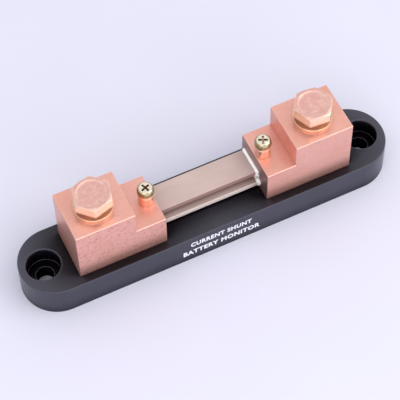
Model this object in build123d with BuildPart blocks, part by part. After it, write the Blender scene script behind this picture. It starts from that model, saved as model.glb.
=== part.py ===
from build123d import *
import os

# A four-wire battery shunt: two copper terminal blocks on a moulded base, joined by two
# resistance strips, each block with a hex terminal bolt and a small sense screw on a post.
# Millimetres. +Z is up, +X runs along the length, +Y to the back. The origin is the centre
# of the base's underside. "left" is the -X end and "right" the +X end.

# ---- base -----------------------------------------------------------------------------
BASE_LENGTH = 145.0
BASE_WIDTH = 27.3
BASE_HEIGHT = 13.5
BASE_EDGE_RADIUS = 0.35
MOUNT_FROM_END = 9.0
MOUNT_HOLE_D = 6.6
MOUNT_RECESS_D = 12.6
MOUNT_RECESS_DEPTH = 7.0
RECESS_EDGE = 0.3

# ---- terminal blocks ------------------------------------------------------------------
BLOCK_GAP = 39.6
BLOCK_WIDTH = 20.4
STEP_LENGTH = 11.2
STEP_HEIGHT = 14.2
TALL_LENGTH = 22.5
TALL_HEIGHT = 24.5
BLOCK_CHAMFER = 0.2

# ---- resistance strips, brazed into pockets in the blocks' inner faces ------------------
STRIP_WIDTH = 10.9
STRIP_THICKNESS = 2.2
STRIP_CORNER = 0.2
POCKET_DEPTH = 3.0
POCKET_CLEARANCE = 0.08
BEAD_SIZE = 0.8
BEAD_LIP = 0.15
BEAD_FLOOR_GAP = 0.1
STRIP_GAP = 2.4
LOWER_STRIP_SETBACK = 3.25
UPPER_STRIP_SETBACK = 1.85

# ---- terminal bolts, M8 -----------------------------------------------------------------
BOLT_FROM_END = 11.0
BOLT_SHANK_D = 8.0
BOLT_LENGTH = 16.0
BOLT_AF = 13.0
BOLT_HEAD = 5.3
BOLT_BEVEL_D = 12.8
BOLT_BEVEL_SLOPE = 0.5
BOLT_DISH_D = 11.0
BOLT_DISH_FLOOR_D = 10.2
BOLT_DISH_DEPTH = 0.25
BOLT_TIP = 1.0
BOLT_HOLE_SPARE = 0.5
BOLT_TURN = {"left": 15.0, "right": -5.0}
SPRING_WASHER_D = 12.8
SPRING_WASHER_T = 1.5
FLAT_WASHER_D = 14.4
FLAT_WASHER_T = 1.1
FLAT_WASHER_EDGE = 0.12

# ---- sense posts and screws, M3 ---------------------------------------------------------
SENSE_FROM_INNER_FACE = 3.1
POST_D = 5.6
POST_HEIGHT = 4.4
SPIGOT_D = 4.0
SPIGOT_LENGTH = 3.8
SPIGOT_HOLE_SPARE = 0.2
SENSE_SHANK_D = 3.0
SENSE_LENGTH = 8.0
SENSE_HEAD_D = 6.2
SENSE_HEAD = 2.4
SENSE_HEAD_WALL = 1.1
SENSE_CROWN_D = 3.6
SENSE_TIP = 0.4
SENSE_HOLE_SPARE = 0.4
SENSE_FLAT_D = 6.0
SENSE_FLAT_T = 0.5
SENSE_SPRING_D = 5.6
SENSE_SPRING_T = 0.9
CROSS_SLOT = 0.8
CROSS_SPAN = 3.2
CROSS_DEPTH = 1.4
CROSS_TURN = {"left": 20.0, "right": -25.0}

# ---- screws that hold the blocks down, M4, from underneath -------------------------------
FIX_INSET_INNER = 8.2
FIX_INSET_OUTER = 4.5
FIX_SHANK_D = 4.0
FIX_LENGTH = 14.0
FIX_HEAD_D = 7.6
FIX_HEAD = 2.6
FIX_HEAD_EDGE = 0.8
FIX_CROSS_SLOT = 1.0
FIX_CROSS_SPAN = 4.2
FIX_CROSS_DEPTH = 1.6
FIX_TIP = 0.6
FIX_WASHER_D = 9.0
FIX_WASHER_T = 0.8
FIX_RECESS_CLEARANCE = 0.4
FIX_RECESS_DEPTH = 7.0
FIX_HOLE_CLEARANCE = 0.2
FIX_HOLE_SPARE = 0.5

# ---- fits ---------------------------------------------------------------------------------
THREAD_CLEARANCE = 0.05
SPIGOT_CLEARANCE = 0.03
WASHER_CLEARANCE = 0.2
WASHER_SPLIT = 0.8
WASHER_SPLIT_ANGLE = 125.0

# ---- places that follow from the sizes ------------------------------------------------------
INNER_X = BLOCK_GAP / 2
RISER_X = INNER_X + STEP_LENGTH
OUTER_X = RISER_X + TALL_LENGTH
STEP_Z = BASE_HEIGHT + STEP_HEIGHT
TALL_Z = BASE_HEIGHT + TALL_HEIGHT
BOLT_X = OUTER_X - BOLT_FROM_END
SENSE_X = INNER_X + SENSE_FROM_INNER_FACE
POST_Z = STEP_Z + POST_HEIGHT
FIX_X = (INNER_X + FIX_INSET_INNER, OUTER_X - FIX_INSET_OUTER)
FIX_SEAT_Z = FIX_RECESS_DEPTH
FIX_RECESS_R = FIX_WASHER_D / 2 + FIX_RECESS_CLEARANCE
FIX_HOLE_R = FIX_SHANK_D / 2 + FIX_HOLE_CLEARANCE
MOUNT_SPACING = BASE_LENGTH - 2 * MOUNT_FROM_END
LOWER_STRIP_Z = BASE_HEIGHT + BEAD_FLOOR_GAP + BEAD_SIZE
UPPER_STRIP_Z = LOWER_STRIP_Z + STRIP_THICKNESS + STRIP_GAP
STRIP_BACK_Y = (BLOCK_WIDTH - STRIP_WIDTH) / 2
STRIPS = {
    "lower": (LOWER_STRIP_Z, STRIP_BACK_Y - LOWER_STRIP_SETBACK),
    "upper": (UPPER_STRIP_Z, STRIP_BACK_Y - UPPER_STRIP_SETBACK),
}
SIDES = {"left": -1, "right": 1}


def save(piece, name):
    """Label one finished piece and write it as its own STEP file."""
    piece.label = name
    export_step(piece, f"parts/{name}.step")


def level(height):
    """A horizontal sketch plane at the given height."""
    return Plane.XY.offset(height)


def make_base():
    """The moulded base: a bar with round ends, recessed mounting holes and screw recesses."""
    with BuildPart() as base:
        with BuildSketch(level(0)):
            SlotOverall(BASE_LENGTH, BASE_WIDTH)
        extrude(amount=BASE_HEIGHT)
        fillet(base.faces().sort_by(Axis.Z)[-1].edges(), BASE_EDGE_RADIUS)
        with Locations(level(BASE_HEIGHT)):
            with GridLocations(MOUNT_SPACING, 1, 2, 1):
                CounterBoreHole(
                    radius=MOUNT_HOLE_D / 2,
                    counter_bore_radius=MOUNT_RECESS_D / 2,
                    counter_bore_depth=MOUNT_RECESS_DEPTH,
                )
        rims = base.faces().sort_by(Axis.Z)[-1].edges().filter_by(GeomType.CIRCLE)
        chamfer([rim for rim in rims if abs(rim.radius - MOUNT_RECESS_D / 2) < 0.01], RECESS_EDGE)
        for sign in SIDES.values():
            for x in FIX_X:
                with BuildSketch(level(0)):
                    with Locations((sign * x, 0)):
                        Circle(FIX_RECESS_R)
                extrude(amount=FIX_RECESS_DEPTH, mode=Mode.SUBTRACT)
                with BuildSketch(level(0)):
                    with Locations((sign * x, 0)):
                        Circle(FIX_HOLE_R)
                extrude(amount=BASE_HEIGHT, mode=Mode.SUBTRACT)
    save(base.part, "base")


def make_block(side, sign):
    """One stepped copper block with its tapped holes and the pockets for the strips."""
    with BuildPart() as block:
        with BuildSketch(Plane.XZ.offset(-BLOCK_WIDTH / 2)):
            with BuildLine():
                Polyline(
                    (sign * INNER_X, BASE_HEIGHT),
                    (sign * OUTER_X, BASE_HEIGHT),
                    (sign * OUTER_X, TALL_Z),
                    (sign * RISER_X, TALL_Z),
                    (sign * RISER_X, STEP_Z),
                    (sign * INNER_X, STEP_Z),
                    close=True,
                )
            make_face()
        extrude(amount=BLOCK_WIDTH)
        foot = block.edges().group_by(Axis.Z)[0]
        fold = block.edges().filter_by_position(Axis.X, sign * RISER_X, sign * RISER_X)
        fold = fold.filter_by_position(Axis.Z, STEP_Z, STEP_Z)
        chamfer(block.edges() - foot - fold, BLOCK_CHAMFER)
        bolt_depth = BOLT_LENGTH - SPRING_WASHER_T - FLAT_WASHER_T + BOLT_HOLE_SPARE
        with BuildSketch(level(TALL_Z)):
            with Locations((sign * BOLT_X, 0)):
                Circle(BOLT_SHANK_D / 2 + THREAD_CLEARANCE)
        extrude(amount=-bolt_depth, mode=Mode.SUBTRACT)
        with BuildSketch(level(STEP_Z)):
            with Locations((sign * SENSE_X, 0)):
                Circle(SPIGOT_D / 2 + SPIGOT_CLEARANCE)
        extrude(amount=-(SPIGOT_LENGTH + SPIGOT_HOLE_SPARE), mode=Mode.SUBTRACT)
        fix_depth = FIX_SEAT_Z - FIX_WASHER_T + FIX_LENGTH + FIX_HOLE_SPARE - BASE_HEIGHT
        with BuildSketch(level(BASE_HEIGHT)):
            with Locations(*[(sign * x, 0) for x in FIX_X]):
                Circle(FIX_SHANK_D / 2 + THREAD_CLEARANCE)
        extrude(amount=fix_depth, mode=Mode.SUBTRACT)
        for bottom, y in STRIPS.values():
            with BuildSketch(Plane.YZ.offset(sign * INNER_X)):
                with Locations((y, bottom + STRIP_THICKNESS / 2)):
                    Rectangle(
                        STRIP_WIDTH + 2 * POCKET_CLEARANCE,
                        STRIP_THICKNESS + 2 * POCKET_CLEARANCE,
                    )
            extrude(amount=sign * POCKET_DEPTH, mode=Mode.SUBTRACT)
    save(block.part, f"terminal_block_{side}")


def make_strip(name, bottom, y):
    """One flat resistance strip, its ends at the bottoms of the pockets."""
    end_x = INNER_X + POCKET_DEPTH
    with BuildPart() as strip:
        with BuildSketch(Plane.YZ.offset(-end_x)):
            with Locations((y, bottom + STRIP_THICKNESS / 2)):
                RectangleRounded(STRIP_WIDTH, STRIP_THICKNESS, STRIP_CORNER)
        extrude(amount=2 * end_x)
    save(strip.part, f"resistor_strip_{name}")


def make_braze(side, sign, name, bottom, y):
    """The bead of brazing alloy around one end of a strip, against the block's face."""
    centre = (y, bottom + STRIP_THICKNESS / 2)
    with BuildPart() as braze:
        with BuildSketch(Plane.YZ.offset(sign * INNER_X)):
            with Locations(centre):
                Rectangle(STRIP_WIDTH + 2 * BEAD_SIZE, STRIP_THICKNESS + 2 * BEAD_SIZE)
        with BuildSketch(Plane.YZ.offset(sign * (INNER_X - BEAD_SIZE))):
            with Locations(centre):
                Rectangle(STRIP_WIDTH + 2 * BEAD_LIP, STRIP_THICKNESS + 2 * BEAD_LIP)
        loft()
        with BuildSketch(Plane.YZ.offset(sign * (INNER_X - BEAD_SIZE))):
            with Locations(centre):
                RectangleRounded(STRIP_WIDTH, STRIP_THICKNESS, STRIP_CORNER)
        extrude(amount=sign * BEAD_SIZE, mode=Mode.SUBTRACT)
    save(braze.part, f"braze_{name}_{side}")


def make_flat_washer(name, x, seat, outer_d, shank_d, thickness):
    """A plain washer lying on the given seat, its upper edge eased."""
    with BuildPart() as washer:
        with BuildSketch(level(seat)):
            with Locations((x, 0)):
                Circle(outer_d / 2)
                Circle(shank_d / 2 + WASHER_CLEARANCE, mode=Mode.SUBTRACT)
        extrude(amount=thickness)
        chamfer(washer.edges().group_by(Axis.Z)[-1].sort_by(SortBy.RADIUS)[-1], FLAT_WASHER_EDGE)
    save(washer.part, name)


def make_spring_washer(name, x, seat, outer_d, shank_d, thickness):
    """A split spring washer as it lies when tightened: a ring with a slanting cut."""
    with BuildPart() as washer:
        with BuildSketch(level(seat)):
            with Locations((x, 0)):
                Circle(outer_d / 2)
                Circle(shank_d / 2 + WASHER_CLEARANCE, mode=Mode.SUBTRACT)
        extrude(amount=thickness)
        cut = Plane(
            origin=(x, 0, seat + thickness / 2),
            x_dir=Vector(1, 0, 0).rotate(Axis.Z, WASHER_SPLIT_ANGLE),
            z_dir=Vector(0, -1, 1).rotate(Axis.Z, WASHER_SPLIT_ANGLE),
        )
        with BuildSketch(cut):
            with Locations((outer_d / 2, 0)):
                Rectangle(outer_d, WASHER_SPLIT)
        extrude(amount=outer_d / 2, both=True, mode=Mode.SUBTRACT)
    save(washer.part, name)


def make_terminal_bolt(side, sign):
    """A hex terminal bolt with a bevelled head, a dished top and a plain shank."""
    x = sign * BOLT_X
    seat = TALL_Z + FLAT_WASHER_T + SPRING_WASHER_T
    top = seat + BOLT_HEAD
    bevel_end = BOLT_AF
    bevel_low = top - BOLT_BEVEL_SLOPE * (bevel_end - BOLT_BEVEL_D / 2)
    with BuildPart() as bolt:
        with BuildSketch(level(seat)):
            with Locations((x, 0)):
                RegularPolygon(BOLT_AF / 2, 6, major_radius=False, rotation=BOLT_TURN[side])
        extrude(amount=BOLT_HEAD)
        with BuildSketch(Plane.XZ):
            with BuildLine():
                Polyline(
                    (x, seat),
                    (x + bevel_end, seat),
                    (x + bevel_end, bevel_low),
                    (x + BOLT_BEVEL_D / 2, top),
                    (x, top),
                    close=True,
                )
            make_face()
        revolve(axis=Axis((x, 0, 0), (0, 0, 1)), mode=Mode.INTERSECT)
        with BuildSketch(Plane.XZ):
            with BuildLine():
                Polyline(
                    (x, top - BOLT_DISH_DEPTH),
                    (x + BOLT_DISH_FLOOR_D / 2, top - BOLT_DISH_DEPTH),
                    (x + BOLT_DISH_D / 2, top),
                    (x, top),
                    close=True,
                )
            make_face()
        revolve(axis=Axis((x, 0, 0), (0, 0, 1)), mode=Mode.SUBTRACT)
        with BuildSketch(level(seat)):
            with Locations((x, 0)):
                Circle(BOLT_SHANK_D / 2)
        extrude(amount=-BOLT_LENGTH)
        chamfer(bolt.edges().group_by(Axis.Z)[0], BOLT_TIP)
    save(bolt.part, f"terminal_bolt_{side}")


def make_sense_post(side, sign):
    """The round post that carries a sense screw, with a spigot set into the block."""
    x = sign * SENSE_X
    with BuildPart() as post:
        with BuildSketch(level(STEP_Z)):
            with Locations((x, 0)):
                Circle(POST_D / 2)
        extrude(amount=POST_HEIGHT)
        with BuildSketch(level(STEP_Z)):
            with Locations((x, 0)):
                Circle(SPIGOT_D / 2)
        extrude(amount=-SPIGOT_LENGTH)
        with BuildSketch(level(POST_Z)):
            with Locations((x, 0)):
                Circle(SENSE_SHANK_D / 2 + THREAD_CLEARANCE)
        hole_depth = SENSE_LENGTH - SENSE_FLAT_T - SENSE_SPRING_T + SENSE_HOLE_SPARE
        extrude(amount=-hole_depth, mode=Mode.SUBTRACT)
    save(post.part, f"sense_post_{side}")


def make_sense_screw(side, sign):
    """A pan-head cross-recess screw with a plain shank."""
    x = sign * SENSE_X
    seat = POST_Z + SENSE_FLAT_T + SENSE_SPRING_T
    top = seat + SENSE_HEAD
    with BuildPart() as screw:
        with BuildSketch(Plane.XZ):
            with BuildLine():
                wall = Polyline(
                    (x, top),
                    (x, seat),
                    (x + SENSE_HEAD_D / 2, seat),
                    (x + SENSE_HEAD_D / 2, seat + SENSE_HEAD_WALL),
                )
                TangentArc(wall @ 1, (x + SENSE_CROWN_D / 2, top), tangent=wall % 1)
                Line((x + SENSE_CROWN_D / 2, top), (x, top))
            make_face()
        revolve(axis=Axis((x, 0, 0), (0, 0, 1)))
        with BuildSketch(level(top)):
            with Locations((x, 0)):
                Rectangle(CROSS_SPAN, CROSS_SLOT, rotation=CROSS_TURN[side])
                Rectangle(CROSS_SLOT, CROSS_SPAN, rotation=CROSS_TURN[side])
        extrude(amount=-CROSS_DEPTH, mode=Mode.SUBTRACT)
        with BuildSketch(level(seat)):
            with Locations((x, 0)):
                Circle(SENSE_SHANK_D / 2)
        extrude(amount=-SENSE_LENGTH)
        chamfer(screw.edges().group_by(Axis.Z)[0], SENSE_TIP)
    save(screw.part, f"sense_screw_{side}")


def make_base_screw(name, x):
    """A pan-head screw from below: head down, plain shank up into the block."""
    seat = FIX_SEAT_Z - FIX_WASHER_T
    with BuildPart() as screw:
        with BuildSketch(level(seat - FIX_HEAD)):
            with Locations((x, 0)):
                Circle(FIX_HEAD_D / 2)
        extrude(amount=FIX_HEAD)
        chamfer(screw.edges().group_by(Axis.Z)[0], FIX_HEAD_EDGE)
        with BuildSketch(level(seat - FIX_HEAD)):
            with Locations((x, 0)):
                Rectangle(FIX_CROSS_SPAN, FIX_CROSS_SLOT)
                Rectangle(FIX_CROSS_SLOT, FIX_CROSS_SPAN)
        extrude(amount=FIX_CROSS_DEPTH, mode=Mode.SUBTRACT)
        with BuildSketch(level(seat)):
            with Locations((x, 0)):
                Circle(FIX_SHANK_D / 2)
        extrude(amount=FIX_LENGTH)
        chamfer(screw.edges().group_by(Axis.Z)[-1], FIX_TIP)
    save(screw.part, name)


os.makedirs("parts", exist_ok=True)
make_base()
for strip_name, (strip_bottom, strip_y) in STRIPS.items():
    make_strip(strip_name, strip_bottom, strip_y)
for side, sign in SIDES.items():
    make_block(side, sign)
    for strip_name, (strip_bottom, strip_y) in STRIPS.items():
        make_braze(side, sign, strip_name, strip_bottom, strip_y)
    make_flat_washer(
        f"terminal_flat_washer_{side}",
        sign * BOLT_X,
        TALL_Z,
        FLAT_WASHER_D,
        BOLT_SHANK_D,
        FLAT_WASHER_T,
    )
    make_spring_washer(
        f"terminal_spring_washer_{side}",
        sign * BOLT_X,
        TALL_Z + FLAT_WASHER_T,
        SPRING_WASHER_D,
        BOLT_SHANK_D,
        SPRING_WASHER_T,
    )
    make_terminal_bolt(side, sign)
    make_sense_post(side, sign)
    make_flat_washer(
        f"sense_flat_washer_{side}",
        sign * SENSE_X,
        POST_Z,
        SENSE_FLAT_D,
        SENSE_SHANK_D,
        SENSE_FLAT_T,
    )
    make_spring_washer(
        f"sense_spring_washer_{side}",
        sign * SENSE_X,
        POST_Z + SENSE_FLAT_T,
        SENSE_SPRING_D,
        SENSE_SHANK_D,
        SENSE_SPRING_T,
    )
    make_sense_screw(side, sign)
    for place, fix_x in zip(("inner", "outer"), FIX_X):
        make_base_screw(f"base_screw_{side}_{place}", sign * fix_x)
        make_flat_washer(
            f"base_screw_washer_{side}_{place}",
            sign * fix_x,
            FIX_SEAT_Z - FIX_WASHER_T,
            FIX_WASHER_D,
            FIX_SHANK_D,
            FIX_WASHER_T,
        )
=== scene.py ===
"""The looks of a copper current shunt on a moulded base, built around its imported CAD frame."""

import math

import bmesh
import bpy
from mathutils import Euler, Matrix, Vector, noise


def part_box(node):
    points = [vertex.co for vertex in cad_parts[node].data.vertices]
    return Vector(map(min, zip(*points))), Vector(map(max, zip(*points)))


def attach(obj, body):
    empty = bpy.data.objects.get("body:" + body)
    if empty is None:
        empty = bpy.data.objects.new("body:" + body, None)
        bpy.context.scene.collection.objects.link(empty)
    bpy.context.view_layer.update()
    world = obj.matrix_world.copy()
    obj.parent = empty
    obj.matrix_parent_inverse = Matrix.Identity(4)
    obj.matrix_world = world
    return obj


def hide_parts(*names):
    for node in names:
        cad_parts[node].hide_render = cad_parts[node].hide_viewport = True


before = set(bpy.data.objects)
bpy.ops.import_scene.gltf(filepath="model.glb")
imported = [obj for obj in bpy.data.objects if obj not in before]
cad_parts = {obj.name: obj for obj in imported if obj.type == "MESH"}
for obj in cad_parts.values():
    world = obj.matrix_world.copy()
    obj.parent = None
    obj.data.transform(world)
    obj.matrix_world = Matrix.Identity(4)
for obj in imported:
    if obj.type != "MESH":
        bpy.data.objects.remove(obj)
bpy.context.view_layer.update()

MM = 0.001
SIDES = {"left": -1, "right": 1}

# Hex bolt and its thread, in metres; turns are degrees from +X to a corner of the head.
BOLT_TURN = {"left": 15.0, "right": -5.0}
HEAD_HALF_FLAT = 6.5 * MM
HEAD_CORNER_CUT = 0.06 * MM
HEAD_BEVEL_R = 6.35 * MM
HEAD_WASHER_FACE_R = 6.15 * MM
HEAD_WASHER_FACE = 0.2 * MM
BOLT_THREAD_R, BOLT_ROOT_R, BOLT_PITCH = 3.96 * MM, 3.35 * MM, 1.25 * MM
# Radius and depth below the top of the head's rim and shallow dish, in millimetres.
HEAD_DISH = (
    (6.30, 0.0),
    (6.05, 0.0),
    (5.62, 0.01),
    (5.50, 0.03),
    (5.14, 0.22),
    (5.02, 0.25),
    (3.60, 0.25),
    (1.50, 0.25),
)

# Thread shape: shares of half a turn at the root and on the flank, and the tip's slope.
THREAD_ROOT, THREAD_FLANK, THREAD_TIP_SLOPE = 0.12, 0.72, 0.9

# Sense screw; its recess is a cross of this span, arm width and depth.
CROSS_TURN = {"left": 20.0, "right": -25.0}
CROSS_SPAN, CROSS_WIDTH, CROSS_DEPTH = 3.5 * MM, 0.85 * MM, 1.5 * MM
SENSE_THREAD_R, SENSE_ROOT_R, SENSE_PITCH = 1.47 * MM, 1.22 * MM, 0.5 * MM

# Brazing beads: usual height at each side, and the height of the run between the strips.
BEAD_HEIGHT = {"left": 0.4, "right": 0.6}
BEAD_RUN = 1.2 * MM


# ---- node materials --------------------------------------------------------------------


class Shader:
    """A node material with one Principled BSDF and short calls for adding nodes to it."""

    def __init__(self, name, **sockets):
        self.material = bpy.data.materials.new(name)
        self.material.use_nodes = True
        self.tree = self.material.node_tree
        self.bsdf = self.tree.nodes["Principled BSDF"]
        coordinates = self.add("ShaderNodeTexCoord")
        self.place = coordinates.outputs["Object"]
        self.facing = coordinates.outputs["Normal"]
        for socket, value in sockets.items():
            self.bsdf.inputs[socket.replace("_", " ")].default_value = value

    def add(self, kind, **settings):
        node = self.tree.nodes.new(kind)
        for setting, value in settings.items():
            setattr(node, setting, value)
        return node

    def join(self, source, target):
        self.tree.links.new(source, target)

    def feed(self, socket, value):
        """Link a node output to a socket, or set the socket to a plain value."""
        if isinstance(value, bpy.types.NodeSocket):
            self.join(value, socket)
        else:
            socket.default_value = value

    def stretched(self, scale, turn=(0, 0, 0)):
        """The object coordinates in metres, scaled (and turned, in degrees) for a texture."""
        mapping = self.add("ShaderNodeMapping")
        self.join(self.place, mapping.inputs["Vector"])
        mapping.inputs["Scale"].default_value = scale
        mapping.inputs["Rotation"].default_value = [math.radians(angle) for angle in turn]
        return mapping.outputs["Vector"]

    def noise(self, size, detail=3.0, rough=0.55, vector=None, distortion=0.0):
        """Fractal noise whose features are about size millimetres across."""
        node = self.add("ShaderNodeTexNoise")
        self.join(vector or self.place, node.inputs["Vector"])
        node.inputs["Scale"].default_value = 1 / (size * MM)
        node.inputs["Detail"].default_value = detail
        node.inputs["Roughness"].default_value = rough
        node.inputs["Distortion"].default_value = distortion
        return node.outputs["Fac"]

    def cells(self, size):
        """Distance from the middle of cells about size millimetres apart."""
        node = self.add("ShaderNodeTexVoronoi", feature="F1")
        self.join(self.place, node.inputs["Vector"])
        node.inputs["Scale"].default_value = 1 / (size * MM)
        return node.outputs["Distance"]

    def ramp(self, value, *stops):
        """A colour or grey ramp; each stop is (position, grey) or (position, (r, g, b))."""
        node = self.add("ShaderNodeValToRGB")
        self.join(value, node.inputs["Fac"])
        elements = node.color_ramp.elements
        while len(elements) < len(stops):
            elements.new(0.5)
        for element, (position, colour) in zip(elements, stops):
            element.position = position
            if not isinstance(colour, tuple):
                colour = (colour, colour, colour)
            element.color = (*colour, 1)
        return node.outputs["Color"]

    def mix(self, factor, first, second, blend="MIX"):
        node = self.add("ShaderNodeMix", data_type="RGBA", blend_type=blend)
        self.feed(node.inputs["Factor"], factor)
        for socket, colour in ((node.inputs["A"], first), (node.inputs["B"], second)):
            if isinstance(colour, tuple):
                colour = (*colour, 1)
            self.feed(socket, colour)
        return node.outputs["Result"]

    def math(self, operation, first, second=0.0, clamp=False):
        node = self.add("ShaderNodeMath", operation=operation, use_clamp=clamp)
        self.feed(node.inputs[0], first)
        self.feed(node.inputs[1], second)
        return node.outputs["Value"]

    def part(self, vector, axis):
        node = self.add("ShaderNodeSeparateXYZ")
        self.join(vector, node.inputs["Vector"])
        return node.outputs[axis]

    def window(self, value, low, high, soft):
        """1 where value lies between low and high, falling to 0 over soft."""
        node = self.add("ShaderNodeMapRange", interpolation_type="SMOOTHSTEP")
        self.feed(node.inputs["Value"], value)
        node.inputs["From Min"].default_value = low - soft
        node.inputs["From Max"].default_value = low
        fall = self.add("ShaderNodeMapRange", interpolation_type="SMOOTHSTEP")
        self.feed(fall.inputs["Value"], value)
        fall.inputs["From Min"].default_value = high
        fall.inputs["From Max"].default_value = high + soft
        fall.inputs["To Min"].default_value = 1
        fall.inputs["To Max"].default_value = 0
        return self.math("MULTIPLY", node.outputs["Result"], fall.outputs["Result"])

    def colour(self, value):
        self.feed(self.bsdf.inputs["Base Color"], value)

    def roughness(self, value, low, high):
        node = self.add("ShaderNodeMapRange")
        self.feed(node.inputs["Value"], value)
        node.inputs["To Min"].default_value = low
        node.inputs["To Max"].default_value = high
        self.join(node.outputs["Result"], self.bsdf.inputs["Roughness"])

    def bump(self, *layers):
        """Bump layers, each (height output, depth in millimetres), one on another."""
        normal = None
        for height, depth in layers:
            node = self.add("ShaderNodeBump")
            self.join(height, node.inputs["Height"])
            node.inputs["Distance"].default_value = depth * MM
            node.inputs["Strength"].default_value = 1.0
            if normal is not None:
                self.join(normal, node.inputs["Normal"])
            normal = node.outputs["Normal"]
        self.join(normal, self.bsdf.inputs["Normal"])

    def edges(self, radius):
        """1 on edges within radius millimetres, from the difference a rounded normal makes."""
        bevel = self.add("ShaderNodeBevel", samples=6)
        bevel.inputs["Radius"].default_value = radius * MM
        geometry = self.add("ShaderNodeNewGeometry")
        dot = self.add("ShaderNodeVectorMath", operation="DOT_PRODUCT")
        self.join(bevel.outputs["Normal"], dot.inputs[0])
        self.join(geometry.outputs["True Normal"], dot.inputs[1])
        return self.math("MULTIPLY", self.math("SUBTRACT", 1.0, dot.outputs["Value"]), 6.0, True)

    def crevice(self, reach, strength, deep=0.20, clear=0.78):
        """The shade of corners closer than reach millimetres to another surface.

        It is strength where the share of open sky is deep or less, 0 where it is clear or more.
        """
        node = self.add("ShaderNodeAmbientOcclusion", samples=6)
        node.inputs["Distance"].default_value = reach * MM
        return self.ramp(node.outputs["AO"], (deep, strength), (clear, 0.0))


def copper(name, pits, stain):
    """Bare copper, blasted matt, with a painted highlight on its edges and painted shade in its
    corners; pits marks the front, with painted glints beside the pits, and stain darkens.

    The face the strips are brazed to is darkened with painted shade.
    """
    shader = Shader(name, Metallic=0.80)
    broad = shader.noise(14.0, 3.0, 0.5)
    fine = shader.noise(0.9, 5.0, 0.65)
    base = shader.ramp(broad, (0.30, (0.88, 0.48, 0.40)), (0.70, (0.85, 0.43, 0.335)))
    base = shader.mix(shader.ramp(fine, (0.35, 0.0), (0.72, 0.55)), base, (0.74, 0.36, 0.29))
    smears = shader.noise(5.0, 4.0, 0.6, shader.stretched((0.35, 1.0, 1.0)), 0.8)
    base = shader.mix(shader.ramp(smears, (0.50, 0.0), (0.78, stain)), base, (0.70, 0.33, 0.27))
    front = shader.math("MULTIPLY", shader.part(shader.facing, "Y"), -1.0, True)
    patch = shader.ramp(shader.noise(3.5, 3.0, 0.6), (0.40, 0.05), (0.55, 1.0))
    marks = shader.cells(1.35)
    marks = shader.math("MULTIPLY", shader.ramp(marks, (0.26, 1.0), (0.44, 0.0)), patch)
    front = shader.math("MULTIPLY", front, pits)
    marks = shader.math("MULTIPLY", marks, front)
    # Painted glints: light speckles beside the pits on the front.
    painted_glints = shader.ramp(shader.noise(0.8, 3.0, 0.6), (0.60, 0.0), (0.68, 0.8))
    base = shader.mix(shader.math("MULTIPLY", painted_glints, front), base, (1.0, 0.72, 0.66))
    base = shader.mix(marks, base, (0.60, 0.25, 0.24))
    # Painted highlight: pale colour along the edges.
    base = shader.mix(shader.math("MULTIPLY", shader.edges(0.35), 0.7), base, (1.0, 0.76, 0.68))
    # Painted shade: corners and gaps darkened.
    base = shader.mix(shader.crevice(1.3, 0.55), base, (0.36, 0.13, 0.09))
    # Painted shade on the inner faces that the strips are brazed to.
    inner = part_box("terminal_block_right")[0].x
    across = shader.part(shader.place, "X")
    inner_face_shade = shader.window(across, -inner - 0.02 * MM, inner + 0.02 * MM, 0.15 * MM)
    base = shader.mix(shader.math("MULTIPLY", inner_face_shade, 0.8), base, (0.28, 0.19, 0.19))
    shader.colour(base)
    shader.roughness(fine, 0.30, 0.46)
    cutter = shader.noise(0.5, 2.0, 0.5, shader.stretched((0.04, 1.0, 1.0)))
    shader.bump((fine, 0.02), (cutter, 0.008), (marks, -0.04))
    return shader.material


def strip_alloy(name, front, shade):
    """Rolled, satin, pinkish grey alloy; front paints light and shade on the front edge, shade the
    gap's reach.
    """
    shader = Shader(name, Metallic=0.12)
    grain = shader.noise(0.35, 4.0, 0.6, shader.stretched((0.03, 1.0, 1.0)))
    cloud = shader.noise(6.0, 3.0, 0.55, shader.stretched((0.4, 1.0, 1.0)))
    base = shader.ramp(cloud, (0.3, (0.48, 0.355, 0.320)), (0.7, (0.54, 0.41, 0.375)))
    base = shader.mix(shader.ramp(grain, (0.4, 0.0), (0.75, 0.28)), base, (0.46, 0.33, 0.30))
    # Painted light and shade: the front edge gets its own tint, dark on the upper strip and pale
    # on the lower.
    forward = shader.math("MULTIPLY", shader.part(shader.facing, "Y"), -1.0, True)
    base = shader.mix(shader.ramp(forward, (0.3, 0.0), (0.9, 0.85)), base, front)
    # Painted highlight: pale colour along the edges.
    base = shader.mix(shader.math("MULTIPLY", shader.edges(0.2), 0.7), base, (0.92, 0.85, 0.82))
    # Painted shade in the gap between the strips and in corners.
    base = shader.mix(shader.crevice(shade, 0.9), base, (0.13, 0.05, 0.04))
    shader.colour(base)
    shader.roughness(grain, 0.40, 0.54)
    shader.bump((grain, 0.01))
    return shader.material


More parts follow.
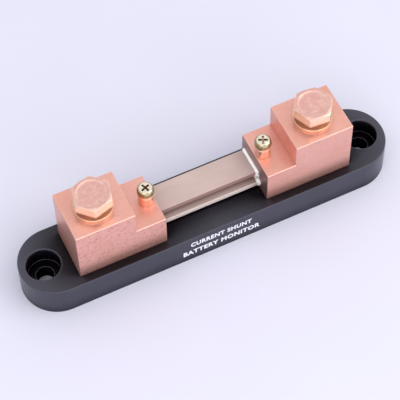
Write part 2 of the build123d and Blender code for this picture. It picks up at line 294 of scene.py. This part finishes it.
def brass(name, colour, pale, low, high, size=1.2, top=None, gap=0.7, seat=None):
    """Polished metal, smeared, with a painted highlight at its edges.

    top colours the upward faces, gap is how far its shade reaches, in millimetres, and seat
    is the height of a painted dark band of shade at the foot of a bolt head.
    """
    shader = Shader(name, Metallic=0.85)
    smear = shader.noise(size * 2.5, 4.0, 0.6, None, 0.7)
    fine = shader.noise(size * 0.35, 4.0, 0.65)
    scratch = shader.noise(0.25, 3.0, 0.6, shader.stretched((0.08, 1.0, 1.0), (0, 0, 35)))
    dull = tuple(c * 0.82 for c in colour)
    base = shader.mix(shader.ramp(smear, (0.35, 0.0), (0.75, 0.7)), colour, dull)
    rough = smear
    if top is not None:
        upward = shader.ramp(shader.part(shader.facing, "Z"), (0.80, 0.0), (0.97, 1.0))
        grit = shader.noise(1.5, 4.0, 0.6)
        sandy = shader.mix(shader.ramp(grit, (0.42, 0.05), (0.66, 0.32)), top, colour)
        base = shader.mix(upward, base, sandy)
        rough = shader.math("MAXIMUM", smear, upward)
    # Painted highlight on the edges, then painted shade in corners and gaps.
    base = shader.mix(shader.math("MULTIPLY", shader.edges(0.22), 0.6), base, pale)
    base = shader.mix(shader.crevice(gap, 0.9), base, (0.22, 0.08, 0.04))
    if seat is not None:
        # Painted shade: a dark band at the foot of the head, over the washer.
        height = shader.part(shader.place, "Z")
        seat_shade = shader.window(height, seat - 0.6 * MM, seat + 0.35 * MM, 1.3 * MM)
        base = shader.mix(shader.math("MULTIPLY", seat_shade, 0.85), base, (0.30, 0.10, 0.05))
    shader.colour(base)
    shader.roughness(rough, low, high)
    shader.bump((fine, 0.006), (scratch, 0.003))
    return shader.material


def silver_braze(name):
    """Silver brazing alloy, bright, rippled, a little yellow in places."""
    shader = Shader(name, Metallic=0.15)
    ripple = shader.noise(0.8, 4.0, 0.6)
    base = shader.ramp(ripple, (0.3, (1.0, 0.99, 0.96)), (0.75, (0.95, 0.92, 0.88)))
    shader.colour(base)
    shader.roughness(ripple, 0.24, 0.42)
    shader.bump((ripple, 0.03))
    return shader.material


def moulded_base(name):
    """Dark moulded plastic: fine spark-eroded grain, faint flow clouds, pale edges painted as
    highlights, a top painted lighter than its sides and painted shade where the parts hide it.
    """
    shader = Shader(name, Metallic=0.0)
    shader.bsdf.inputs["IOR"].default_value = 1.50
    grain = shader.noise(0.22, 3.0, 0.6)
    cloud = shader.noise(18.0, 3.0, 0.5)
    upward = shader.math("MAXIMUM", shader.part(shader.facing, "Z"), 0.0)
    # Painted light: the top is given a lighter colour than the sides.
    side = shader.ramp(cloud, (0.3, (0.018, 0.018, 0.034)), (0.7, (0.025, 0.024, 0.044)))
    top = shader.ramp(cloud, (0.3, (0.040, 0.038, 0.054)), (0.7, (0.050, 0.047, 0.066)))
    base = shader.mix(upward, side, top)
    # Painted shade: near black on the top where the blocks and strips hide it, and in corners.
    base_shade = shader.math("MULTIPLY", upward, shader.crevice(20.0, 1.0, 0.62, 0.99))
    base_shade = shader.math("MAXIMUM", base_shade, shader.crevice(14.0, 1.0, 0.42, 0.60))
    base = shader.mix(base_shade, base, (0.002, 0.001, 0.002))
    # Specular level, lowered where the shade is painted.
    shine = shader.math("MULTIPLY_ADD", upward, 0.12)
    shine.node.inputs[2].default_value = 0.40
    shine = shader.math("SUBTRACT", shine, shader.math("MULTIPLY", base_shade, 0.45))
    shader.join(shine, shader.bsdf.inputs["Specular IOR Level"])
    dust = shader.noise(0.7, 5.0, 0.7)
    base = shader.mix(shader.ramp(dust, (0.62, 0.0), (0.80, 0.25)), base, (0.08, 0.075, 0.10))
    # Painted highlight: pale colour along the edges.
    base = shader.mix(shader.math("MULTIPLY", shader.edges(0.4), 0.8), base, (0.22, 0.21, 0.27))
    shader.colour(base)
    shader.roughness(grain, 0.24, 0.36)
    shader.bump((grain, 0.006))
    return shader.material


def zinc(name):
    """Zinc-plated steel, crystalline and slightly blue."""
    shader = Shader(name, Metallic=1.0)
    spangle = shader.cells(0.6)
    base = shader.ramp(spangle, (0.1, (0.66, 0.67, 0.70)), (0.8, (0.56, 0.57, 0.60)))
    shader.colour(base)
    shader.roughness(spangle, 0.25, 0.38)
    shader.bump((shader.noise(0.3), 0.006))
    return shader.material


def white_ink(name):
    """Pad-printed white ink, a little thin in places."""
    shader = Shader(name, Metallic=0.0, Roughness=0.45)
    thin = shader.noise(0.35, 3.0, 0.6)
    shader.colour(shader.ramp(thin, (0.35, (0.86, 0.86, 0.90)), (0.75, (0.70, 0.70, 0.74))))
    shader.bump((thin, 0.004))
    return shader.material


MATERIALS = {
    "copper_left": copper("copper_left", 0.62, 0.55),
    "copper_right": copper("copper_right", 0.12, 0.40),
    "post": brass("post_copper", (0.90, 0.52, 0.38), (1.0, 0.80, 0.68), 0.24, 0.40),
    # The upper strip's front edge is painted dark as shade and the lower's painted pale as light.
    "strip_upper": strip_alloy("strip_upper", (0.30, 0.17, 0.15), 0.5),
    "strip_lower": strip_alloy("strip_lower", (0.84, 0.74, 0.70), 4.5),
    "braze": silver_braze("silver_braze"),
    "bolt": brass(
        "bolt_brass",
        (1.0, 0.80, 0.61),
        (1.0, 0.94, 0.84),
        0.18,
        0.50,
        top=(0.72, 0.38, 0.34),
        gap=2.0,
        seat=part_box("terminal_spring_washer_left")[1].z,
    ),
    "washer": brass("washer_brass", (0.93, 0.60, 0.40), (1.0, 0.82, 0.62), 0.22, 0.40, gap=0.5),
    # Painted shade: the spring washers under the bolt heads get a darkened copy of the washer
    # brass.
    "shaded_washer": brass(
        "shaded_washer", (0.38, 0.17, 0.10), (0.60, 0.32, 0.20), 0.40, 0.60, gap=2.0
    ),
    # Painted light and shade on the sense screws: a dark olive colour on the head's sides and a
    # pale top with painted glints.
    "sense": brass(
        "sense_brass",
        (0.36, 0.28, 0.15),
        (1.0, 0.96, 0.86),
        0.06,
        0.22,
        size=0.6,
        top=(0.95, 0.87, 0.70),
        gap=1.0,
    ),
    "base": moulded_base("moulded_base"),
    "zinc": zinc("zinc_plate"),
    "ink": white_ink("white_ink"),
}


def dress(target, key):
    """Give an object its one material."""
    target.data.materials.clear()
    target.data.materials.append(MATERIALS[key])
    return target


# ---- mesh making -----------------------------------------------------------------------


def piece(name, mesh, material, body):
    """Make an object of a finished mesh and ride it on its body."""
    made = bpy.data.objects.new(name, mesh)
    bpy.context.scene.collection.objects.link(made)
    dress(made, material)
    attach(made, body)
    return made


def lathe(name, rings, sharp):
    """A closed mesh of rings, smooth but for edges over sharp degrees.

    A ring is a list of points. The first and last have one each; the others have the same
    number.
    """
    mesh = bpy.data.meshes.new(name)
    build = bmesh.new()
    levels = [[build.verts.new(point) for point in ring] for ring in rings]
    for lower, upper in zip(levels, levels[1:]):
        count = max(len(lower), len(upper))
        for i in range(count):
            j = (i + 1) % count
            if len(lower) == 1:
                build.faces.new((lower[0], upper[j], upper[i]))
            elif len(upper) == 1:
                build.faces.new((lower[i], lower[j], upper[0]))
            else:
                build.faces.new((lower[i], lower[j], upper[j], upper[i]))
    bmesh.ops.recalc_face_normals(build, faces=build.faces)
    for face in build.faces:
        face.smooth = True
    for edge in build.edges:
        if len(edge.link_faces) == 2 and edge.calc_face_angle() > math.radians(sharp):
            edge.smooth = False
    build.to_mesh(mesh)
    build.free()
    return mesh


def circle(x, radius, z, count, bend=None):
    """A ring of points round a vertical axis at x; bend(angle) gives (radius, z) instead."""
    points = []
    for i in range(count):
        angle = 2 * math.pi * i / count
        r, height = (radius, z) if bend is None else bend(angle)
        points.append(Vector((x + r * math.cos(angle), r * math.sin(angle), height)))
    return points


def thread_rings(x, top, length, outer, inner, pitch, count, steps=8):
    """Rings from the tip up to the head that make a right-hand thread with a tapered tip."""
    rings = [[Vector((x, 0, top - length))]]
    total = round(length / pitch * steps)
    for k in range(total + 1):
        z = top - length + length * k / total

        def cut(angle, z=z):
            turn = ((z / pitch) - angle / (2 * math.pi)) % 1.0
            rise = min(1.0, max(0.0, (abs(turn - 0.5) * 2 - THREAD_ROOT) / THREAD_FLANK))
            r = inner + (outer - inner) * rise
            limit = inner - 0.25 * (outer - inner) + (z - (top - length)) * THREAD_TIP_SLOPE
            neck = inner + (outer - inner) * min(1.0, (top - z) / pitch)
            return min(r, limit, max(neck, inner)), z

        rings.append(circle(x, 0, z, count, cut))
    return rings


def hex_radius(angle):
    """Radius of the bolt head, a hexagon with its corners cut, at this angle from a corner."""
    from_corner = (angle + math.pi / 6) % (math.pi / 3) - math.pi / 6
    from_flat = math.pi / 6 - abs(from_corner)
    corner = HEAD_HALF_FLAT / math.cos(math.pi / 6)
    return min(HEAD_HALF_FLAT / math.cos(from_flat), corner - HEAD_CORNER_CUT)


def hex_bolt(side):
    """A hex bolt: bevelled head with a dished top and raised rim, washer face and thread."""
    low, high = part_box(f"terminal_bolt_{side}")
    washer_low, washer_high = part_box(f"terminal_spring_washer_{side}")
    x = (washer_low.x + washer_high.x) / 2
    seat = washer_high.z
    top = high.z
    turn = math.radians(BOLT_TURN[side])
    count = 144

    def head_top(angle):
        r = hex_radius(angle - turn)
        return r, top - 0.5 * max(0.0, r - HEAD_BEVEL_R) - 0.02 * MM

    def head_foot(angle):
        r = hex_radius(angle - turn)
        return r, seat + 0.28 * MM + 0.35 * max(0.0, r - HEAD_BEVEL_R)

    def under_head(angle):
        r = hex_radius(angle - turn)
        return min(r - 0.12 * MM, 6.4 * MM), seat + HEAD_WASHER_FACE

    rings = thread_rings(x, seat, seat - low.z, BOLT_THREAD_R, BOLT_ROOT_R, BOLT_PITCH, count)
    rings.append(circle(x, HEAD_WASHER_FACE_R, seat, count))
    rings.append(circle(x, HEAD_WASHER_FACE_R, seat + HEAD_WASHER_FACE, count))
    for outline in (under_head, head_foot, head_top):
        rings.append(circle(x, 0, 0, count, outline))
    for radius, drop in HEAD_DISH:
        rings.append(circle(x, radius * MM, top - drop * MM, count))
    rings.append([Vector((x, 0, top - HEAD_DISH[-1][1] * MM))])
    mesh = lathe(f"bolt_{side}", rings, 28)
    made = piece(f"bolt_{side}", mesh, "bolt", f"terminal_bolt_{side}")
    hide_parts(f"terminal_bolt_{side}")


def clean(mesh, gap=1e-6):
    """Weld points closer than gap metres and drop the slivers, so that the mesh stays closed."""
    build = bmesh.new()
    build.from_mesh(mesh)
    bmesh.ops.remove_doubles(build, verts=build.verts, dist=gap)
    bmesh.ops.dissolve_degenerate(build, edges=build.edges, dist=gap)
    bmesh.ops.triangulate(build, faces=[face for face in build.faces if len(face.verts) > 4])
    bmesh.ops.recalc_face_normals(build, faces=build.faces)
    build.to_mesh(mesh)
    build.free()


def boolean_cut(mesh, cutter_mesh):
    """Cut one closed mesh from another and return the result as a new mesh."""
    body = bpy.data.objects.new("cut_body", mesh)
    cutter = bpy.data.objects.new("cut_tool", cutter_mesh)
    for thing in (body, cutter):
        bpy.context.scene.collection.objects.link(thing)
    modifier = body.modifiers.new("cut", "BOOLEAN")
    modifier.operation = "DIFFERENCE"
    modifier.solver = "EXACT"
    modifier.object = cutter
    bpy.context.view_layer.update()
    shown = body.evaluated_get(bpy.context.evaluated_depsgraph_get())
    result = bpy.data.meshes.new_from_object(shown)
    bpy.data.objects.remove(body)
    bpy.data.objects.remove(cutter)
    clean(result)
    return result


def cross_tool(x, top, turn, span, width, depth):
    """A tapered cross, for cutting a cross recess down from top."""
    mesh = bpy.data.meshes.new("cross_tool")
    build = bmesh.new()
    arm = ((width / 2, -width / 2), (span / 2, -width / 2), (span / 2, width / 2))
    outline = []
    for quarter in range(4):
        angle = turn + quarter * math.pi / 2
        cos, sin = math.cos(angle), math.sin(angle)
        for along, across in arm:
            outline.append((along * cos - across * sin, along * sin + across * cos))
    levels = []
    for z, share in ((top + 0.6 * MM, 1.12), (top - depth * 0.45, 0.86), (top - depth, 0.35)):
        levels.append([build.verts.new((x + a * share, b * share, z)) for a, b in outline])
    count = len(outline)
    for upper, lower in zip(levels, levels[1:]):
        for i in range(count):
            j = (i + 1) % count
            build.faces.new((lower[i], lower[j], upper[j], upper[i]))
    build.faces.new(levels[0])
    build.faces.new(list(reversed(levels[-1])))
    bmesh.ops.recalc_face_normals(build, faces=build.faces)
    build.to_mesh(mesh)
    build.free()
    return mesh


def sense_screw(side):
    """A pan-head screw with a tapered cross recess and a thread."""
    low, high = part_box(f"sense_screw_{side}")
    x = (low.x + high.x) / 2
    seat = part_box(f"sense_spring_washer_{side}")[1].z
    count = 72
    rings = thread_rings(
        x, seat, seat - low.z, SENSE_THREAD_R, SENSE_ROOT_R, SENSE_PITCH, count, 6
    )
    profile = [(2.92, 0.0), (3.06, 0.10), (3.1, 0.35), (3.1, 1.0)]
    for k in range(1, 9):
        angle = math.radians(90 * k / 8)
        profile.append((1.75 + 1.35 * math.cos(angle), 1.0 + 1.32 * math.sin(angle)))
    profile += [(1.2, 2.365), (0.6, 2.385)]
    for radius, height in profile:
        rings.append(circle(x, radius * MM, seat + height * MM, count))
    rings.append([Vector((x, 0, seat + 2.39 * MM))])
    turn = math.radians(CROSS_TURN[side])
    tool = cross_tool(x, high.z, turn, CROSS_SPAN, CROSS_WIDTH, CROSS_DEPTH)
    mesh = boolean_cut(lathe(f"screw_{side}", rings, 35), tool)
    made = piece(f"screw_{side}", mesh, "sense", f"sense_screw_{side}")
    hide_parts(f"sense_screw_{side}")


def braze_bead(side, sign, name):
    """The uneven fillet of brazing alloy round one end of a strip."""
    low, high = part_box(f"resistor_strip_{name}")
    block_low, block_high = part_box(f"terminal_block_{side}")
    face_x = block_high.x if sign < 0 else block_low.x
    y_mid, z_mid = (low.y + high.y) / 2, (low.z + high.z) / 2
    half_y, half_z = (high.y - low.y) / 2, (high.z - low.z) / 2
    path = []
    for y0, z0, y1, z1 in (
        (-half_y, half_z, half_y, half_z),
        (half_y, half_z, half_y, -half_z),
        (half_y, -half_z, -half_y, -half_z),
        (-half_y, -half_z, -half_y, half_z),
    ):
        steps = 40 if y0 != y1 else 8
        for k in range(steps):
            t = k / steps
            path.append((y0 + (y1 - y0) * t, z0 + (z1 - z0) * t))
    mesh = bpy.data.meshes.new(f"bead_{name}_{side}")
    build = bmesh.new()
    loops = []
    for y, z in path:
        out = Vector((0, int(y / half_y * 1.001), int(z / half_z * 1.001)))
        out.normalize()
        seed = Vector((sign * 3.0 + (7 if name == "upper" else 0), y / MM * 0.55, z / MM * 0.55))
        uneven = 0.10 * noise.noise(seed) + 0.06 * noise.noise(seed * 3.1)
        size = (BEAD_HEIGHT[side] + uneven) * MM
        towards_gap = z < 0 if name == "upper" else z > 0
        if name == "lower" and z < -half_z * 0.5:
            size = min(size, 0.7 * MM)
        elif sign > 0 and towards_gap and y < 1.3 * MM - half_y:
            size = BEAD_RUN
        spread = 1.5 + 0.15 * noise.noise(seed * 1.7 + Vector((5, 1, 2)))
        reach = min(size, 0.7 * MM) * spread
        foot = Vector((face_x, y_mid + y, z_mid + z))
        inward = Vector((-sign, 0, 0))
        loop = [foot - out * 0.12 * MM - inward * 0.1 * MM]
        for k in range(6):
            t = k / 5
            bulge = 0.16 * math.sin(math.pi * t)
            along = (1 - t) ** 1.35 + bulge * 0.35
            away = t ** 1.35 + bulge * 0.35
            loop.append(foot + inward * reach * away + out * size * along)
        loop.append(foot + inward * reach * 0.98 - out * 0.12 * MM)
        loops.append([build.verts.new(point) for point in loop])
    count = len(loops)
    for i in range(count):
        a, b = loops[i], loops[(i + 1) % count]
        for k in range(len(a)):
            m = (k + 1) % len(a)
            build.faces.new((a[k], b[k], b[m], a[m]))
    bmesh.ops.recalc_face_normals(build, faces=build.faces)
    for face in build.faces:
        face.smooth = True
    build.to_mesh(mesh)
    build.free()
    made = piece(f"bead_{name}_{side}", mesh, "braze", "shunt")
    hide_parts(f"braze_{name}_{side}")


def printed_line(name, words, length, height, x, z, face_y):
    """One line of raised ink, of this length and letter height, on the base's front."""
    curve = bpy.data.curves.new(name, "FONT")
    curve.body = words
    curve.size = 3 * MM
    curve.extrude = 0.03 * MM
    curve.offset = 0.12 * MM
    curve.space_character = 1.12
    curve.align_x = "CENTER"
    curve.resolution_u = 3
    text = bpy.data.objects.new(name, curve)
    bpy.context.scene.collection.objects.link(text)
    bpy.context.view_layer.update()
    mesh = bpy.data.meshes.new_from_object(text)
    bpy.data.objects.remove(text)
    across = [vertex.co.x for vertex in mesh.vertices]
    upward = [vertex.co.y for vertex in mesh.vertices]
    stretch = (length / (max(across) - min(across)), height / (max(upward) - min(upward)), 1)
    mesh.transform(Matrix.Diagonal((*stretch, 1)))
    mesh.transform(Euler((math.pi / 2, 0, 0)).to_matrix().to_4x4())
    mesh.transform(Matrix.Translation((x, face_y, z)))
    clean(mesh)
    piece(name, mesh, "ink", "shunt")


# ---- the object ------------------------------------------------------------------------

NODE_LOOKS = {
    "base": "base",
    "resistor_strip_lower": "strip_lower",
    "resistor_strip_upper": "strip_upper",
    "terminal_block_left": "copper_left",
    "terminal_block_right": "copper_right",
}
for side in SIDES:
    NODE_LOOKS[f"sense_post_{side}"] = "post"
    NODE_LOOKS[f"terminal_flat_washer_{side}"] = "washer"
    NODE_LOOKS[f"terminal_spring_washer_{side}"] = "shaded_washer"
    NODE_LOOKS[f"sense_flat_washer_{side}"] = "post"
    NODE_LOOKS[f"sense_spring_washer_{side}"] = "post"
    NODE_LOOKS[f"terminal_bolt_{side}"] = "bolt"
    NODE_LOOKS[f"sense_screw_{side}"] = "sense"
    for name in ("lower", "upper"):
        NODE_LOOKS[f"braze_{name}_{side}"] = "braze"
    for place in ("inner", "outer"):
        NODE_LOOKS[f"base_screw_{side}_{place}"] = "zinc"
        NODE_LOOKS[f"base_screw_washer_{side}_{place}"] = "zinc"
for node, look in NODE_LOOKS.items():
    dress(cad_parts[node], look)

for side, sign in SIDES.items():
    hex_bolt(side)
    sense_screw(side)
    for name in ("lower", "upper"):
        braze_bead(side, sign, name)

front_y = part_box("base")[0].y
printed_line("print_upper", "CURRENT SHUNT", 24.3 * MM, 2.6 * MM, -0.2 * MM, 8.3 * MM, front_y)
printed_line("print_lower", "BATTERY MONITOR", 30.6 * MM, 2.7 * MM, -0.2 * MM, 3.5 * MM, front_y)

# ---- floor, light and camera -----------------------------------------------------------


def paper_floor():
    """A wide sheet of pale paper under the object."""
    mesh = bpy.data.meshes.new("floor")
    mesh.from_pydata([(-3, -3, 0), (3, -3, 0), (3, 3, 0), (-3, 3, 0)], [], [(0, 1, 2, 3)])
    made = bpy.data.objects.new("floor", mesh)
    bpy.context.scene.collection.objects.link(made)
    paper = Shader("pale_paper", Metallic=0.0, Roughness=0.75)
    clouds = paper.noise(40.0)
    paper.colour(paper.ramp(clouds, (0.3, (0.65, 0.645, 0.745)), (0.7, (0.66, 0.655, 0.755))))
    paper.bump((paper.noise(0.5), 0.004))
    made.data.materials.append(paper.material)


def studio_world():
    """A near-white world, a little darker towards -X."""
    world = bpy.data.worlds.new("studio")
    bpy.context.scene.world = world
    world.use_nodes = True
    nodes, links = world.node_tree.nodes, world.node_tree.links
    sky = nodes["Background"]
    direction = nodes.new("ShaderNodeTexCoord")
    split = nodes.new("ShaderNodeSeparateXYZ")
    fade = nodes.new("ShaderNodeValToRGB")
    spread = nodes.new("ShaderNodeMapRange")
    spread.inputs["From Min"].default_value = -1
    links.new(direction.outputs["Generated"], split.inputs["Vector"])
    links.new(split.outputs["X"], spread.inputs["Value"])
    links.new(spread.outputs["Result"], fade.inputs["Fac"])
    links.new(fade.outputs["Color"], sky.inputs["Color"])
    stops = ((0.15, (0.86, 0.87, 0.92, 1)), (0.75, (0.95, 0.96, 1.0, 1)))
    for element, (position, colour) in zip(fade.color_ramp.elements, stops):
        element.position = position
        element.color = colour
    sky.inputs["Strength"].default_value = 0.98


def softbox(name, place, size, power, colour):
    """A rectangular area light aimed at the object."""
    lamp = bpy.data.lights.new(name, "AREA")
    lamp.shape = "RECTANGLE"
    lamp.size, lamp.size_y = size
    lamp.energy = power
    lamp.color = colour
    made = bpy.data.objects.new(name, lamp)
    bpy.context.scene.collection.objects.link(made)
    made.location = place
    made.rotation_mode = "QUATERNION"
    made.rotation_quaternion = (Vector((0, 0, 0.02)) - made.location).to_track_quat("-Z", "Y")


paper_floor()
studio_world()
softbox("key", (0.65, -0.42, 0.90), (0.8, 0.8), 4.4, (1.0, 0.98, 0.95))
softbox("fill", (-0.50, -0.55, 0.90), (0.8, 0.8), 3.0, (0.97, 0.97, 1.0))
softbox("front", (0.05, -0.95, 0.35), (0.9, 0.4), 2.6, (1.0, 0.98, 0.98))

camera_data = bpy.data.cameras.new("camera")
camera = bpy.data.objects.new("camera", camera_data)
bpy.context.scene.collection.objects.link(camera)
bpy.context.scene.camera = camera
camera_data.lens = 149.6
camera_data.sensor_width = 36.0
camera_data.clip_start = 0.01
camera_data.clip_end = 20.0
azimuth, elevation, roll = (math.radians(angle) for angle in (24.505, 57.518, -1.379))
forward = Vector(
    (
        math.sin(azimuth) * math.cos(elevation),
        math.cos(azimuth) * math.cos(elevation),
        -math.sin(elevation),
    )
)
right = Vector((math.cos(azimuth), -math.sin(azimuth), 0))
up = right.cross(forward)
right, up = (
    right * math.cos(roll) + up * math.sin(roll),
    up * math.cos(roll) - right * math.sin(roll),
)
camera.rotation_mode = "QUATERNION"
camera.rotation_quaternion = Matrix((right, up, -forward)).transposed().to_quaternion()
camera.location = (-0.1359, -0.2935, 0.5202)

bpy.context.scene.view_settings.view_transform = "Standard"
